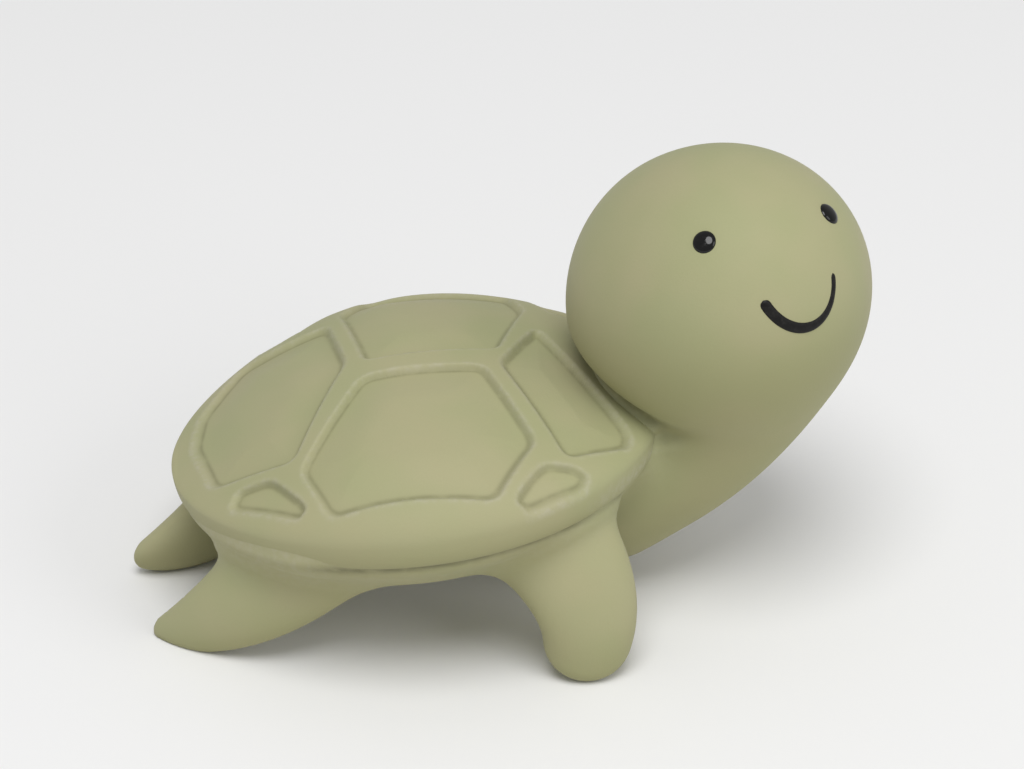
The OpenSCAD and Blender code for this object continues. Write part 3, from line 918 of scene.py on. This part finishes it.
def make_carapace():
    sizes = dict(Plan=scute_plan, Depth=1.1, Pillow=0.6, Slope=0.45, Valley=0.3)
    tree, size = new_tree("carapace", **sizes)
    p = given(tree, "GeometryNodeInputPosition")
    shell = wrapped_shell(size["Plan"], p)
    inside = scute_depth(p, size["Plan"])
    on_top = level(p).rise(PANEL_LOW, PANEL_HIGH)
    wall = (inside / size["Slope"]).rise(-1.0, 1.0)
    sunk = wall * size["Depth"] - inside.rise(PILLOW_START, PILLOW_FULL) * size["Pillow"]
    toy = p.part("X") * shell_ahead + p * (0, 1, 0) + p.part("Z") * shell_up
    neck_gap = pinched_neck(toy, p)
    valley = neck_gap.bell(VALLEY_WIDTH) * size["Valley"] * p.part("Z").rise(VALLEY_LOW, 0.0)
    normal = (p / (HALF_LENGTH ** 2, HALF_WIDTH ** 2, DOME_HEIGHT ** 2)).unit()
    push = (sunk * on_top + valley) * -1.0
    off_limbs = neck_gap.least(flippers(toy)).rise(LIMB_NEAR, LIMB_FAR) * (1.0 - at_tail(p))
    # painted shade lines, with some dirt, by the neck, at the rim's foot and at the foot of the panel walls
    foot_line = (level(p) - RIM_FOOT).bell(FOOT_LINE_WIDTH) * off_limbs
    wall_line = (inside - WALL_LINE_INSET).bell(WALL_LINE_WIDTH) * on_top
    crease = neck_gap.bell(CREASE_WIDTH).most(foot_line).most(wall_line) * CREASE_SHARE
    shell = keep_value(shell, "crease", crease)
    # pale mark at the top of the panel walls, partly dust and partly a painted highlight, and a pale band on
    # the front of the rim's roll
    wall_dust_and_highlight = (inside + WALL_DUST_AND_HIGHLIGHT_OUTSET).bell(WALL_DUST_AND_HIGHLIGHT_WIDTH) * on_top
    fold = (level(p) + FOLD_DROP).bell(FOLD_WIDTH) * p.part("X").rise(FOLD_START, FOLD_FULL)
    shell = keep_value(shell, "bloom", wall_dust_and_highlight.most(fold) * SHELL_DUST_AND_HIGHLIGHT)
    # painted shade on what faces down
    shell = keep_value(shell, "under", under_shade(given(tree, "GeometryNodeInputNormal")))
    shell = shell.node("GeometryNodeSetPosition", sockets={"Geometry": shell, "Offset": normal * push})
    shell = shell.node("GeometryNodeSetShadeSmooth", sockets={"Geometry": shell})
    tilt = -math.atan2(shell_ahead.z, shell_ahead.x)
    shell = shell.node("GeometryNodeTransform", sockets={"Geometry": shell, "Rotation": (0, tilt, 0)})
    return grow("carapace_skin", tree, to_frame(shell), sage_rubber, sizes)


carapace_skin = make_carapace()
bpy.data.objects.remove(scute_plan)
measure(carapace_skin)

# %% [markdown]
# Eyes and smile are painted in black enamel. Paint on soft rubber wears a little, so its finish has small
# chalky spots that are also rougher. The eyes are glossier than the smile.

# %% Enamel finishes
WORN_SIZE = 0.9
WORN_RANGE = (0.45, 0.8)
WORN_GREY = (0.10, 0.095, 0.085)
WORN_ROUGH_SPAN = 0.25
PAINT_WAVE_SIZE = 0.6
PAINT_BUMP = 0.12
PAINT_BUMP_HEIGHT = 0.05


def enamel_finish(name, colour, rough, chalk, gloss):
    material, shader, place = new_finish(name)
    worn = noise(place, WORN_SIZE, detail=4.0, rough=0.7).rise(*WORN_RANGE)
    feed(shader, Base_Color=tint(worn * chalk, colour, WORN_GREY), Roughness=worn * WORN_ROUGH_SPAN + rough,
         Normal=bump(noise(place, PAINT_WAVE_SIZE), PAINT_BUMP, PAINT_BUMP_HEIGHT), Specular_IOR_Level=gloss)
    return material


eye_enamel = enamel_finish("eye enamel", (0.003, 0.003, 0.003), rough=0.06, chalk=0.03, gloss=0.35)
smile_enamel = enamel_finish("smile enamel", (0.006, 0.0055, 0.005), rough=0.45, chalk=0.2, gloss=0.2)
print("finishes:", eye_enamel.name, "and", smile_enamel.name)

# %% [markdown]
# The eyes are drops of enamel that stand a little proud of the skin. Each is turned like a bowl on a lathe
# from half an outline: flat below, a tight rounded edge, then a low dome. They go where the frame's eyes
# are, and a ray towards the middle of the head finds the skin that they sit on.

# %% Eyes
EYE_RADIUS = 2.0
EYE_HEIGHT = 0.6
EYE_SUNK = 0.35
EYE_POWER = 0.8
EYE_SIDES = 64
EYE_RINGS = 14
RAY_LENGTH = 0.1
head_mid = shell_mid + HEAD_MID * MM
skin_tree = BVHTree.FromObject(body_skin, bpy.context.evaluated_depsgraph_get())


def on_skin(direction):
    """Where a line from the middle of the head leaves the skin, and the skin's normal there."""
    spot, normal, _, _ = skin_tree.ray_cast(head_mid + direction * RAY_LENGTH, -direction)
    return spot, normal


def eye_seat(node):
    """The place of a frame's eye on the skin, with Z straight out of it."""
    low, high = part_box(node)
    spot, normal = on_skin(((low + high) / 2 - head_mid).normalized())
    upright = normal.to_track_quat("Z", "Y").to_matrix().to_4x4()
    return Matrix.Translation(spot - normal * EYE_SUNK * MM) @ upright


def make_eye(name, node):
    seat = eye_seat(node)
    tall = EYE_HEIGHT + EYE_SUNK
    spokes = [math.tau * k / EYE_SIDES for k in range(EYE_SIDES)]
    shape = bmesh.new()
    rings = []
    for i in range(EYE_RINGS):
        angle = math.pi / 2 * i / EYE_RINGS
        radius = EYE_RADIUS * math.cos(angle)
        height = tall * math.sin(angle) ** EYE_POWER
        ring = [Vector((radius * math.cos(a), radius * math.sin(a), height)) * MM for a in spokes]
        rings.append([shape.verts.new(seat @ place) for place in ring])
    top = shape.verts.new(seat @ Vector((0, 0, tall * MM)))
    for lower, upper in zip(rings, rings[1:]):
        for k in range(EYE_SIDES):
            n = (k + 1) % EYE_SIDES
            shape.faces.new((lower[k], lower[n], upper[n], upper[k]))
    for k in range(EYE_SIDES):
        shape.faces.new((rings[-1][k], rings[-1][(k + 1) % EYE_SIDES], top))
    shape.faces.new(list(reversed(rings[0])))
    for face in shape.faces:
        face.smooth = len(face.verts) < EYE_SIDES
    mesh = bpy.data.meshes.new(name)
    shape.to_mesh(mesh)
    shape.free()
    mesh.materials.append(eye_enamel)
    eye = bpy.data.objects.new(name, mesh)
    bpy.context.scene.collection.objects.link(eye)
    measure(eye)
    return eye


eyes = {node: make_eye("drop_" + node, node) for node in ("right_eye", "left_eye")}

# %% [markdown]
# The smile is one brush stroke of black enamel along an arc, thick where the brush landed and thin where it
# left. Geometry Nodes lay a curve over the face by a formula, drop it on the skin with a ray, sweep a circle
# along it whose radius follows the stroke, and press the result nearly flat onto the skin.

# %% Smile
SMILE_TURNS = (-19.3, -15.4, 5.9, 8.1)
SMILE_LIFTS = (-8.4, -25.4, -28.3, -7.2)
SMILE_POINTS = 90
ROD_SIDES = 16
BLUNT_SHARE = 0.05
BRUSH_FULL = 1.08
BRUSH_LOSS = 0.5
BRUSH_LIFT = 0.4
BRUSH_LIFTED = 0.9
BRUSH_TIP = 0.02


def stroke(share, shape):
    """A value along a brush stroke that is shaped by four values, as a Bezier curve is."""
    a, b, c, d = shape
    rest = 1.0 - share
    return rest * rest * (rest * a + share * (3 * b)) + share * share * (rest * (3 * c) + share * d)


def smile_aim(share):
    """The direction from the middle of the head to a place along the smile."""
    turn, lift = (stroke(share, shape) * math.radians(1) for shape in (SMILE_TURNS, SMILE_LIFTS))
    flat = lift.math("COSINE")
    ahead, left, up = (to_face @ axis for axis in Matrix.Identity(3))
    return (flat * turn.math("COSINE")) * ahead + (flat * turn.math("SINE")) * left + lift.math("SINE") * up


def make_smile():
    sizes = dict(Skin=body_skin, Half=0.85, Flat=0.3)
    tree, size = new_tree("smile", **sizes)
    line = size["Skin"].node("GeometryNodeCurvePrimitiveLine",
                             sockets={"Start": (0, 0, 0), "End": (1, 0, 0)})
    line = line.node("GeometryNodeResampleCurve", sockets={"Curve": line, "Count": SMILE_POINTS})
    share = given(tree, "GeometryNodeSplineParameter", "Factor")
    aim = smile_aim(share)
    skin = size["Skin"].node("GeometryNodeObjectInfo", sockets={"Object": size["Skin"]}, out="Geometry")
    far = aim * (2 * FACE_REACH * MM) + head_mid
    hit = skin.node("GeometryNodeRaycast", {"data_type": "FLOAT"}, {
        "Target Geometry": skin, "Source Position": far, "Ray Direction": aim * -1.0,
        "Ray Length": RAY_LENGTH}, out="Hit Position")
    line = line.node("GeometryNodeSetPosition", sockets={"Geometry": line, "Position": hit})
    ends = (share / BLUNT_SHARE).clip() * ((1.0 - share) / BLUNT_SHARE).clip()
    blunt = (ends * (2.0 - ends)).math("SQRT")
    brush = (BRUSH_FULL - share.rise(BRUSH_LIFT, BRUSH_LIFTED) * BRUSH_LOSS) * blunt + BRUSH_TIP
    rod = line.node("GeometryNodeCurvePrimitiveCircle", sockets={"Resolution": ROD_SIDES, "Radius": MM})
    paint = line.node("GeometryNodeCurveToMesh", sockets={
        "Curve": line, "Profile Curve": rod, "Scale": brush * size["Half"], "Fill Caps": True})
    p = given(tree, "GeometryNodeInputPosition")
    near = skin.node("GeometryNodeProximity", {"target_element": "FACES"}, {0: skin, "Source Position": p})
    pressed = near + (p - near) * size["Flat"]
    paint = paint.node("GeometryNodeSetPosition", sockets={"Geometry": paint, "Position": pressed})
    paint = paint.node("GeometryNodeSetShadeSmooth", sockets={"Geometry": paint})
    return grow("smile_stroke", tree, paint, smile_enamel, sizes)


smile_stroke = make_smile()
measure(smile_stroke)

# %% [markdown]
# The squeaker is hard white plastic with a thin film reed. Its shapes are right as they are in the frame, so
# they only get finishes: a slightly creamy plastic with a moulded skin, and a cooler, smoother film.

# %% Squeaker finishes
PLASTIC_CLOUD_SIZE = 5
PLASTIC_CLOUD_RANGE = (0.3, 0.7)
PLASTIC_GRAIN_SIZE = 0.3
PLASTIC_ROUGH_SPAN = 0.15
PLASTIC_BUMP = 0.2
PLASTIC_BUMP_HEIGHT = 0.05


def plastic_finish(name, colour, other, rough):
    material, shader, place = new_finish(name)
    cloud = noise(place, PLASTIC_CLOUD_SIZE)
    grain = noise(place, PLASTIC_GRAIN_SIZE, detail=3.0)
    feed(shader, Base_Color=tint(cloud.rise(*PLASTIC_CLOUD_RANGE), colour, other),
         Roughness=cloud * PLASTIC_ROUGH_SPAN + rough,
         Normal=bump(grain, PLASTIC_BUMP, PLASTIC_BUMP_HEIGHT))
    return material


white_plastic = plastic_finish("white squeaker plastic", (0.78, 0.77, 0.72), (0.72, 0.71, 0.65), rough=0.32)
reed_film = plastic_finish("reed film", (0.62, 0.65, 0.68), (0.55, 0.58, 0.62), rough=0.2)
squeaker_finishes = dict.fromkeys(("squeaker_barrel", "sound_cap", "reed_seat", "reed_clamp"), white_plastic)
squeaker_finishes["reed"] = reed_film
for node, finish in squeaker_finishes.items():
    frame["nodes"][node].data.materials.clear()
    frame["nodes"][node].data.materials.append(finish)
print("squeaker finishes set:", len(squeaker_finishes))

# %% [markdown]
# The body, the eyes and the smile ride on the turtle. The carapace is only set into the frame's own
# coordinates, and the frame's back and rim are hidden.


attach(body_skin, "turtle")
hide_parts("head_skin", "belly_skin", "front_right_flipper", "front_left_flipper",
            "hind_right_flipper", "hind_left_flipper")
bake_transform(carapace_skin)
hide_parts("back_crown", "shell_rim")
for node, eye in eyes.items():
    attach(eye, "turtle")
    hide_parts(node)
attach(smile_stroke, "turtle")
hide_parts("smile")
print("pieces ride on their bodies")

# %% [markdown]
# The photograph was taken from the turtle's right, well above it, with a long lens. The camera is set by its
# angles, its distance and the scale at that distance, and the lens follows from them.

# %% Camera
PHOTO_WIDTH = 1024
CAMERA_TURN = -4
CAMERA_LIFT = 31
CAMERA_DISTANCE = 560.0
PIXELS_PER_MM = 5.74
CAMERA_TARGET = Vector((3.2, 2.8, 38.6))
SENSOR = 36.0


def aim_from(turn, lift):
    """The direction from the toy to a camera or lamp at these angles, in degrees."""
    a = math.radians(turn)
    e = math.radians(lift)
    return Vector((math.sin(a) * math.cos(e), -math.cos(a) * math.cos(e), math.sin(e)))


def look(thing, place, target):
    thing.location = place
    thing.rotation_euler = (place - target).to_track_quat("Z", "Y").to_euler()
    bpy.context.scene.collection.objects.link(thing)


lens = bpy.data.cameras.new("camera")
lens.sensor_width = SENSOR
lens.lens = PIXELS_PER_MM * CAMERA_DISTANCE * SENSOR / PHOTO_WIDTH
camera = bpy.data.objects.new("camera", lens)
target = CAMERA_TARGET * MM
look(camera, target + aim_from(CAMERA_TURN, CAMERA_LIFT) * CAMERA_DISTANCE * MM, target)
bpy.context.scene.camera = camera
print("lens:", round(lens.lens, 1), "mm")

# %% [markdown]
# A wide soft lamp over the camera and a weaker one on the head's side, with a white surround, give the even
# studio light. Each lamp is a disk, and its row gives its turn, lift, distance, width and power.

# %% Light
LAMPS = [("key", -4, 68, 1.8, 1.1, 20.5), ("side", 52, 30, 1.6, 0.9, 4.6)]
SURROUND_WHITE = (1.0, 1.0, 1.0, 1)
SURROUND_STRENGTH = 0.47
for name, turn, lift, distance, width, power in LAMPS:
    lamp = bpy.data.lights.new(name, "AREA")
    lamp.shape = "DISK"
    lamp.size = width
    lamp.energy = power
    look(bpy.data.objects.new(name, lamp), target + aim_from(turn, lift) * distance, target)

world = bpy.data.worlds.new("studio")
bpy.context.scene.world = world
world.use_nodes = True
surround = world.node_tree.nodes["Background"]
surround.inputs["Color"].default_value = SURROUND_WHITE
surround.inputs["Strength"].default_value = SURROUND_STRENGTH
bpy.context.scene.view_settings.view_transform = "Standard"
print("lamps:", len(LAMPS))

# %% [markdown]
# The floor is a plain pale sheet, far wider than the view, so that no edge of it shows.

# %% Floor
FLOOR_HALF = 3.0
FLOOR_CLOUD_SIZE = 400
FLOOR_PALE = (0.81, 0.81, 0.81)
FLOOR_PALER = (0.83, 0.83, 0.83)
FLOOR_ROUGH = 0.9
corners = [(x * FLOOR_HALF, y * FLOOR_HALF, 0) for x, y in ((-1, -1), (1, -1), (1, 1), (-1, 1))]
floor_mesh = bpy.data.meshes.new("floor")
floor_mesh.from_pydata(corners, [], [(0, 1, 2, 3)])
floor = bpy.data.objects.new("floor", floor_mesh)
bpy.context.scene.collection.objects.link(floor)
floor_finish, floor_shader, floor_place = new_finish("pale floor")
floor_colour = tint(noise(floor_place, FLOOR_CLOUD_SIZE), FLOOR_PALE, FLOOR_PALER)
feed(floor_shader, Base_Color=floor_colour, Roughness=FLOOR_ROUGH)
floor_mesh.materials.append(floor_finish)
print("stage ready")
